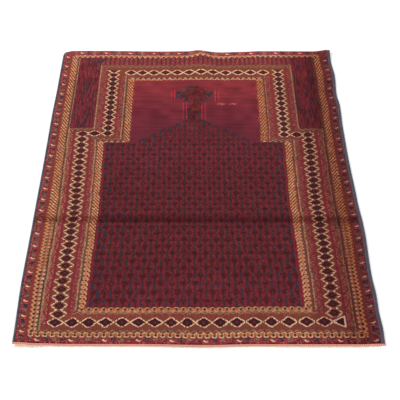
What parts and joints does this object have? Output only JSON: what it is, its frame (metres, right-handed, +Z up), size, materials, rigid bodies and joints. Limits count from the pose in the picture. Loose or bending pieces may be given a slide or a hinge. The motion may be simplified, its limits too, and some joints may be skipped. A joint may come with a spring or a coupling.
{
  "type": "wool prayer rug",
  "caption": "Hand-knotted wool prayer rug lying flat, with overcast side cords, whipped ends and short trimmed warp ends.",
  "frame": {"origin": "on the floor under the middle of the whole rug, fringe included", "axes": "+X to the right across the rug, +Y along it towards the end that the pattern's arch points to, +Z up"},
  "size_m": [0.866, 1.3602, 0.0169],
  "materials": {
    "knotted_wool_pile": "cut wool pile, soft sheen, many-coloured knotted pattern",
    "goat_hair_overcast_dark": "goat hair wrapped round the edge warps, dark slate",
    "goat_hair_overcast": "goat hair wrapped round the edge warps, grey-blue and purple-grey",
    "whipped_wool_end": "salmon wool whipping over undyed warp ends"
  },
  "bodies": {
    "root": {"rug_body": "knotted_wool_pile", "selvedge_left": "goat_hair_overcast_dark", "selvedge_right": "goat_hair_overcast", "end_band_near": "whipped_wool_end", "end_band_far": "whipped_wool_end"}
  },
  "joints": []
}
